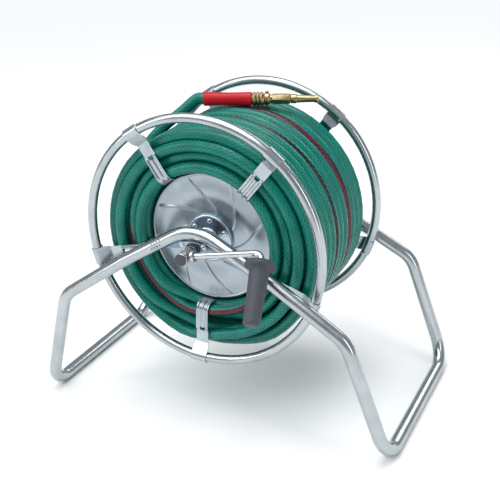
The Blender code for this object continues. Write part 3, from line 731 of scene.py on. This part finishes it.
sheet_finish = zinc_finish(
    "zinc_plated_pressed_sheet", (0.40, 0.45, 0.485), (0.345, 0.395, 0.435), 0.26, 0.38, 600.0
)
sheet_reach = disc_radius - 2.0 * bead_radius - disc_bore
sheet_rings = 62
radii = [disc_bore + sheet_reach * step / sheet_rings for step in range(sheet_rings + 1)]
bead_middle = disc_radius - bead_radius
disc_profile = [(radius, disc_height(radius) + disc_sheet / 2.0) for radius in radii]
disc_profile += arc(bead_middle, 0.0, bead_radius, 140.0, -140.0, 14)
disc_profile += [(radius, disc_height(radius) - disc_sheet / 2.0) for radius in radii[::-1]]
for side, word in ((-1.0, "front"), (1.0, "rear")):
    disc = spun(disc_profile, disc_steps, closed=True)
    for vert in disc.verts:
        vert.co.z += rib_lift(math.hypot(vert.co.x, vert.co.y), math.atan2(vert.co.y, vert.co.x))
    piece = finished_piece(
        f"drum_disc_{word}_pressed", face_out(disc, side, disc_spacing), sheet_finish, "reel"
    )
    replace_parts(piece, f"drum_disc_{word}")

# Hubs
# A dished steel flange with a short boss carries each disc on the axle, held by a circle of rivets.
hub_flange = 0.040
hub_boss = 0.016
hub_boss_round = 0.0012
hub_neck_height = 0.0130
hub_neck_round = 0.0040
hub_slope = ((0.0250, 0.0078), (0.0335, 0.0068))
hub_seat = disc_spacing + disc_sheet / 2.0 + joint_gap
hub_tip = -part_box("hub_front")[0].y - hub_seat
hub_finish = zinc_finish("zinc_plated_hub", (0.48, 0.57, 0.65), (0.37, 0.46, 0.54), 0.16, 0.30, 600.0)
hub_profile = [(disc_bore, hub_tip)]
hub_profile += arc(hub_boss - hub_boss_round, hub_tip - hub_boss_round, hub_boss_round, 90.0, 0.0, 5)
hub_profile += [(hub_boss + 0.0002, hub_neck_height)]
hub_profile += arc(hub_boss + 0.0042, 0.0125, hub_neck_round, 180.0, 262.0, 8)
hub_profile += hub_slope
hub_profile += arc(hub_flange - 0.0042, 0.0028, hub_neck_round, 84.0, 0.0, 10)
hub_profile += [(hub_flange, 0.0), (disc_bore, 0.0)]
hub_rivets = [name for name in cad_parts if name.startswith("hub_rivet")]
for side, word in ((-1.0, "front"), (1.0, "rear")):
    hub = face_out(spun(hub_profile, 96, closed=True), side, hub_seat)
    piece = finished_piece(f"hub_{word}_finished", hub, hub_finish, "reel", sharp_at=50.0)
    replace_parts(piece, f"hub_{word}")
for node in hub_rivets:
    low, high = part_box(node)
    middle = (low + high) / 2.0
    side = 1.0 if middle.y > 0.0 else -1.0
    seat = (high.y if side > 0.0 else -low.y) - rivet_head_height
    head = face_out(rivet_head((high.x - low.x) / 2.0), side, seat, middle.x, middle.z - reel_centre.z)
    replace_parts(finished_piece(f"{node}_head", head, bright_finish, "reel"), node)

# Ring rims
# Two hoops of plated steel tube, rolled round and butt welded, keep the outer turns of hose in.
for side, word in ((-1.0, "front"), (1.0, "rear")):
    hoop = spun(arc(ring_radius, 0.0, ring_tube, 360.0, 15.0, 23), 160, closed=True)
    hoop = face_out(hoop, side, ring_plane)
    piece = finished_piece(f"rim_ring_{word}_rolled", hoop, tube_finish, "reel")
    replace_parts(piece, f"rim_ring_{word}")

# Spoke straps
# Five pressed strips hold the reel together: across the drum on both discs, out along each face,
# and round the hoops. Edges and a middle rib are pressed up, and the rib ends in a small slot.
strap_angles = (120.5, 48.5, -23.5, -95.5, -167.5)
strap_sheet = 0.0018
strap_half_width = 0.0105
clamp_half_width = 0.0135
strap_drum_radius = disc_radius + 0.0013
strap_leg_plane = 0.1185
strap_bend = 0.014
crease_radius = 0.178
slot_start = 0.1490
slot_end = 0.1550
rib_ridge = 0.0023
clamp_wrap = math.radians(205.0)
clamp_radius = ring_tube + 0.0009 + strap_sheet / 2.0
strap_cells = 14
drum_steps = 20
drum_share = 0.88
bend_steps = 10
leg_steps = 36
crease_steps = 5
clamp_steps = 20
clamp_points = 24
flare_lead = 0.002
flare_run = 0.009
slot_share = 0.18
rib_from = 0.100
rib_rise = 0.012
middle_rib_share = 0.22
edge_rib_share = 0.55
edge_rib_rise = 0.25
tongue_share = 0.68
tongue_length = 0.005
tongue_steps = 4
tongue_curl = 0.55

to_crease = Vector((crease_radius - ring_radius, strap_leg_plane - ring_plane))
clamp_lean = math.atan2(to_crease.y, to_crease.x) - math.acos(clamp_radius / to_crease.length)
strap_run = [
    (strap_drum_radius, strap_leg_plane * step / drum_steps * drum_share) for step in range(drum_steps + 1)
]
strap_run += [
    (strap_drum_radius + strap_bend * (1.0 - math.cos(t)), strap_leg_plane - strap_bend * (1.0 - math.sin(t)))
    for t in [math.pi / 2.0 * step / bend_steps for step in range(1, bend_steps + 1)]
]
leg_start = strap_drum_radius + strap_bend
leg_reach = crease_radius - leg_start
strap_run += [(leg_start + leg_reach * step / leg_steps, strap_leg_plane) for step in range(1, leg_steps + 1)]
clamp_turns = [clamp_lean - clamp_wrap * step / clamp_steps for step in range(clamp_steps + 1)]
lean_way = Vector((math.cos(clamp_lean), math.sin(clamp_lean)))
clamp_foot = Vector((ring_radius, ring_plane)) + clamp_radius * lean_way
crease_point = Vector((crease_radius, strap_leg_plane))
strap_run += [tuple(crease_point.lerp(clamp_foot, step / crease_steps)) for step in range(1, crease_steps)]
strap_run += [
    (ring_radius + clamp_radius * math.cos(t), ring_plane + clamp_radius * math.sin(t)) for t in clamp_turns
]


def strap_shape():
    """Half a strap in its own frame, then mirrored: +X outwards, +Y along the axle, the width along Z."""
    shape = bmesh.new()
    count = len(strap_run) - 1
    bmesh.ops.create_grid(shape, x_segments=count, y_segments=strap_cells, size=0.5)
    gap = []
    for face in shape.faces:
        middle = face.calc_center_median()
        step = int((middle.x + 0.5) * count)
        radius, y = strap_run[step]
        on_leg = y > strap_leg_plane - 0.0005
        if on_leg and slot_start < radius < slot_end and abs(middle.y) < slot_share:
            gap.append(face)
    for vert in shape.verts:
        step = round((vert.co.x + 0.5) * count)
        across = vert.co.y * 2.0
        radius, y = strap_run[step]
        before, after = strap_run[max(step - 1, 0)], strap_run[min(step + 1, count)]
        way = Vector((after[0] - before[0], after[1] - before[1])).normalized()
        out = Vector((-way.y, way.x))
        flare = 0.0
        if step > len(strap_run) - clamp_points:
            flare = 1.0
        elif y > strap_leg_plane - 0.001:
            flare = ease((radius - crease_radius + flare_lead) / flare_run)
        half = strap_half_width + (clamp_half_width - strap_half_width) * flare
        pressed = ease((y - rib_from) / rib_rise) * ease((slot_end + 0.001 - radius) / 0.003)
        middle_rib = math.exp(-((across / middle_rib_share) ** 4))
        edge_rib = ease((abs(across) - edge_rib_share) / edge_rib_rise)
        lift = rib_ridge * pressed * max(middle_rib, edge_rib)
        vert.co = Vector((radius + out.x * lift, y + out.y * lift, across * half))
    bmesh.ops.delete(shape, geom=gap, context="FACES")
    end = [
        edge
        for edge in shape.edges
        if edge.is_boundary
        and all(abs(v.co.x - strap_run[-1][0]) < 0.0001 for v in edge.verts)
        and all(abs(v.co.y - strap_run[-1][1]) < 0.0001 for v in edge.verts)
        and all(v.co.z < -clamp_half_width * tongue_share for v in edge.verts)
    ]
    last_turn = clamp_turns[-1]
    curl_way = Vector((math.sin(last_turn), -math.cos(last_turn), 0.0))
    curl_out = Vector((math.cos(last_turn), math.sin(last_turn), 0.0))
    for step in range(tongue_steps):
        curl = curl_way * math.cos(tongue_curl * step) + curl_out * math.sin(tongue_curl * step)
        end = run_straight(shape, end, curl * tongue_length / tongue_steps)
    bmesh.ops.mirror(shape, geom=shape.faces, axis="Y", merge_dist=0.0002)
    bmesh.ops.recalc_face_normals(shape, faces=shape.faces)
    bmesh.ops.solidify(shape, geom=shape.faces, thickness=strap_sheet)
    bmesh.ops.recalc_face_normals(shape, faces=shape.faces)
    return shape


strap_finish = zinc_finish("zinc_plated_strap", (0.50, 0.54, 0.56), (0.38, 0.43, 0.46), 0.18, 0.32, 700.0)
for number, degrees in enumerate(strap_angles, 1):
    strap = strap_shape()
    stand_up = Matrix.Translation(reel_centre) @ Matrix.Rotation(math.radians(-degrees), 4, "Y")
    bmesh.ops.transform(strap, matrix=stand_up, verts=strap.verts)
    piece = finished_piece(
        f"spoke_strap_{number}_pressed", strap, strap_finish, "reel", sharp_at=38.0
    )
    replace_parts(piece, f"spoke_strap_{number}")

# Crank
# A plated bar goes through the axle and is bent over at its end; a collar beside the axle holds it.
crank_plane = 0.172
crank_turn = math.radians(10.0)
crank_length = 0.131
crank_radius = 0.005
crank_bend = 0.012
grip_fold = math.radians(46.0)
grip_start = 0.0135
grip_length = 0.096
crank_along = Vector((math.cos(crank_turn), 0.0, math.sin(crank_turn)))
crank_down = Vector((math.sin(crank_turn), 0.0, -math.cos(crank_turn)))
grip_along = Vector((0.0, -math.cos(grip_fold), 0.0)) + crank_down * math.sin(grip_fold)
crank_root = reel_centre + Vector((0.0, -crank_plane, 0.0))
crank_corner = crank_root + crank_along * crank_length
crank_line = [
    crank_root - crank_along * (axle_radius - 0.0006),
    crank_corner,
    crank_corner + grip_along * (grip_start + grip_length - 0.008),
]
crank_shape = bent_tube(crank_line, (crank_bend,), crank_radius, sides=32, steps_per_quarter=18)
crank_bar = finished_piece(
    "crank_bar_bent", crank_shape, bright_finish, "crank", sharp_at=40.0
)
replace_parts(crank_bar, "crank_bar")


def aimed(shape, origin, direction, hint=Vector((0.0, 0.0, 1.0))):
    """Moves a shape made about +Z to a point, with its +Z along a direction."""
    across = hint.cross(direction).normalized()
    turn = Matrix((across, direction.cross(across), direction)).transposed().to_4x4()
    bmesh.ops.transform(shape, matrix=Matrix.Translation(origin) @ turn, verts=shape.verts)
    return shape


collar_reach = 0.0055
collar_radius = 0.0090
collar_foot_round = 0.0010
collar_outer_round = 0.0016
collar_stand_off = 0.0016
collar_bore = crank_radius + joint_gap
collar_profile = [(collar_bore, 0.0)]
collar_profile += arc(collar_radius - collar_foot_round, collar_foot_round, collar_foot_round, -90.0, 0.0, 5)
collar_profile += arc(
    collar_radius - collar_outer_round, collar_reach - collar_outer_round, collar_outer_round, 0.0, 90.0, 6
)
collar_profile += [(collar_bore, collar_reach)]
collar_seat = crank_root + crank_along * (axle_radius + collar_stand_off)
collar = aimed(spun(collar_profile, 48, closed=True), collar_seat, crank_along)
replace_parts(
    finished_piece("crank_collar_turned", collar, bright_finish, "crank", sharp_at=50.0),
    "crank_collar",
)

# Grip
# A moulded plastic handle with a round hand guard; it is free to turn on the bent end of the bar.
guard_radius = 0.0235
grip_top = 0.0148
grip_tip = 0.0122
guard_neck = 0.0098
guard_crown = 0.0420
guard_edge_round = 0.0034
guard_hollow = 0.0062
grip_end_round = 0.0044
grip_end_wall = 0.006
grip_bore = crank_radius + joint_gap
grip_profile = [(grip_bore, grip_length), (guard_neck, grip_length)]
grip_profile += arc(guard_neck, grip_length - guard_crown, guard_crown, 88.0, 73.0, 5)
grip_profile += arc(guard_radius - guard_edge_round, grip_length - 0.0068, guard_edge_round, 60.0, -75.0, 9)
grip_profile += arc(grip_top + guard_hollow, grip_length - 0.0165, guard_hollow, 100.0, 178.0, 8)
grip_profile += [(grip_top - 0.0008, grip_length - 0.034), (grip_top - 0.0018, grip_length - 0.060)]
grip_profile += arc(grip_tip - grip_end_round, grip_end_round, grip_end_round, 0.0, -90.0, 9)
grip_profile += [(0.0, 0.0), (0.0, grip_end_wall), (grip_bore, grip_end_wall)]
grip_shape = aimed(
    spun(grip_profile, 72, closed=True),
    crank_corner + grip_along * (grip_start + grip_length),
    -grip_along,
    Vector((1.0, 0.0, 0.0)),
)
grip = finished_piece("crank_grip_moulded", grip_shape, plastic_finish, "grip", sharp_at=50.0)
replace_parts(grip, "crank_grip")

# Nozzle
# A red plastic sleeve grips the hose end; a ribbed brass coupling, a claw piece, a six sided body
# and a slim barrel that twists to set the jet are screwed on one after another.
sleeve_length = 0.078
sleeve_radius = 0.0112
hose_bore = hose_radius + joint_gap
red_finish = Finish("red_moulded_plastic", {"IOR": 1.48, "Specular IOR Level": 0.25})
red_tone = red_finish.clouds(red_finish.coords(), 60.0, 3.0)
red_colour = red_finish.blend(red_tone, (0.430, 0.006, 0.014), (0.560, 0.012, 0.022))
red_finish.join(red_colour, red_finish.shader.inputs["Base Color"])
red_finish.join(red_finish.spread(red_tone, 0.3, 0.7, 0.24, 0.36), red_finish.shader.inputs["Roughness"])
red_finish.bump(red_finish.clouds(red_finish.coords(), 1200.0, 2.0), 0.12, 0.0002)
sleeve_end_round = 0.0012
mouth_round = 0.0010
sleeve_waist = ((0.80, 0.0006), (0.55, 0.0009), (0.30, 0.0006), (0.08, 0.0))
sleeve_stop = sleeve_inset + joint_gap
sleeve_profile = [(0.0, sleeve_length), (sleeve_radius * 0.86, sleeve_length)]
sleeve_profile += arc(
    sleeve_radius - sleeve_end_round, sleeve_length - sleeve_end_round, sleeve_end_round, 80.0, 0.0, 5
)
sleeve_profile += [(sleeve_radius - inset, sleeve_length * share) for share, inset in sleeve_waist]
sleeve_profile += arc(sleeve_radius - mouth_round, mouth_round, mouth_round, 0.0, -90.0, 5)
sleeve_profile += [(hose_bore, 0.0), (hose_bore, sleeve_stop), (0.0, sleeve_stop)]
sleeve = finished_piece(
    "nozzle_sleeve_moulded",
    aimed(spun(sleeve_profile, 64), nozzle_start, nozzle_along),
    red_finish,
    "reel",
    sharp_at=50.0,
)
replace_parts(sleeve, "nozzle_sleeve")

brass_finish = Finish("turned_brass", {"Metallic": 1.0})
brass_where = brass_finish.coords()
brass_tone = brass_finish.spread(brass_finish.clouds(brass_where, 120.0, 5.0, 0.6), 0.3, 0.7)
brass_colour = brass_finish.blend(brass_tone, (0.46, 0.36, 0.20), (0.30, 0.22, 0.11))
brass_gloss = brass_finish.spread(brass_tone, 0.0, 1.0, 0.22, 0.38)
brass_finish.join(brass_colour, brass_finish.shader.inputs["Base Color"])
brass_finish.join(brass_gloss, brass_finish.shader.inputs["Roughness"])
brass_finish.bump(brass_finish.clouds(brass_where, 900.0, 2.0), 0.12, 0.0002)

coupling_length = 0.0205
coupling_radius = 0.0115
coupling_groove = 0.0095
coupling_face = 0.0086
coupling_land = 0.0015
coupling_ribs = 3
crown_round = 0.0018
rib_pitch = (coupling_length - 2.0 * coupling_land) / coupling_ribs
coupling_profile = [(0.0, 0.0), (coupling_face, 0.0), (coupling_groove, 0.0012)]
for rib in range(coupling_ribs):
    foot = coupling_land + rib_pitch * rib
    crown = foot + rib_pitch * 0.5
    coupling_profile += [(coupling_groove, foot)]
    coupling_profile += arc(coupling_radius - crown_round, crown, crown_round, -70.0, 70.0, 8)
    coupling_profile += [(coupling_groove, foot + rib_pitch)]
coupling_profile += [(coupling_face, coupling_length), (0.0, coupling_length)]
claw_length = 0.012
body_length = 0.029
coupling_at = sleeve_length + joint_gap
claw_at = coupling_at + coupling_length + joint_gap
body_at = claw_at + claw_length + joint_gap
barrel_at = body_at + body_length + joint_gap
barrel_length = (nozzle_end - nozzle_start).length - barrel_at


def brass_piece(name, node, shape, at, body):
    shape = aimed(shape, nozzle_start + nozzle_along * at, nozzle_along)
    piece = finished_piece(name, shape, brass_finish, body, sharp_at=40.0)
    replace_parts(piece, node)
    return piece


coupling_shape = spun(coupling_profile, 48)
coupling = brass_piece("hose_coupling_ribbed", "hose_coupling", coupling_shape, coupling_at, "reel")

claw_radius = 0.0098
claw_chamfer = 0.0008
claw_round = 0.0010
collar_top = 0.0062
claw_profile = [(0.0, 0.0), (claw_radius - claw_chamfer, 0.0), (claw_radius, claw_chamfer)]
claw_profile += [(claw_radius, collar_top)]
claw_profile += arc(claw_radius - claw_round, collar_top, claw_round, 0.0, 80.0, 5)
claw_profile += arc(0.0088, 0.0100, 0.0020, -95.0, -175.0, 6)
claw_profile += [(0.0066, claw_length), (0.0, claw_length)]
claw_shape = spun(claw_profile, 48)
lug_size = Matrix.Diagonal((0.0062, 0.0040, 0.0060, 1.0))
lug_place = Matrix.Translation((0.0, claw_radius + 0.0006, 0.0036))
for turn in (0.0, math.pi):
    lug_seat = Matrix.Rotation(turn, 4, "Z") @ lug_place @ lug_size
    lug = bmesh.ops.create_cube(claw_shape, size=1.0, matrix=lug_seat)
    edges = list({edge for vert in lug["verts"] for edge in vert.link_edges})
    bmesh.ops.bevel(
        claw_shape, geom=edges, offset=claw_round, segments=3, profile=0.5, affect="EDGES", material=-1
    )
claw = brass_piece("claw_coupling_cast", "claw_coupling", claw_shape, claw_at, "reel")

hex_radius = 0.0088
hex_rounding = 0.0009
spindle_radius = 0.0042
spindle_length = 0.012
spindle_overlap = 0.0002
body_shape = spun([(0.0, 0.0), (hex_radius, 0.0), (hex_radius, body_length), (0.0, body_length)], 6)
bmesh.ops.dissolve_limit(
    body_shape, angle_limit=math.radians(1.0), verts=body_shape.verts, edges=body_shape.edges
)
body_edges = [edge for edge in body_shape.edges if edge.calc_face_angle() > math.radians(30.0)]
bmesh.ops.bevel(
    body_shape, geom=body_edges, offset=hex_rounding, segments=3, profile=0.5, affect="EDGES", material=-1
)
spindle_profile = [(0.0, 0.0), (spindle_radius, 0.0), (spindle_radius, spindle_length), (0.0, spindle_length)]
spindle = spun(spindle_profile, 32)
bmesh.ops.translate(spindle, verts=spindle.verts, vec=(0.0, 0.0, body_length - spindle_overlap))
spindle_mesh = bpy.data.meshes.new("spindle")
spindle.to_mesh(spindle_mesh)
spindle.free()
body_shape.from_mesh(spindle_mesh)
nozzle_body = brass_piece("nozzle_body_hexagonal", "nozzle_body", body_shape, body_at, "reel")

outlet_radius = 0.0022
barrel_bore = spindle_radius + joint_gap
barrel_round = 0.0010
barrel_profile = [(outlet_radius, barrel_length), (0.0050, barrel_length)]
barrel_profile += arc(0.0052, barrel_length - barrel_round, barrel_round, 80.0, 0.0, 4)
barrel_profile += [(0.0062, barrel_length - 0.0065), (0.0055, barrel_length - 0.0080), (0.0062, 0.0110)]
barrel_profile += arc(0.0064, 0.0088, barrel_round, 90.0, 0.0, 4)
barrel_profile += arc(0.0064, 0.0012, barrel_round, 0.0, -90.0, 4)
barrel_profile += [(barrel_bore, 0.0), (barrel_bore, 0.0135), (outlet_radius, 0.0150)]
barrel_shape = spun(barrel_profile, 48, closed=True)
barrel = brass_piece("nozzle_barrel_turned", "nozzle_barrel", barrel_shape, barrel_at, "nozzle_tip")
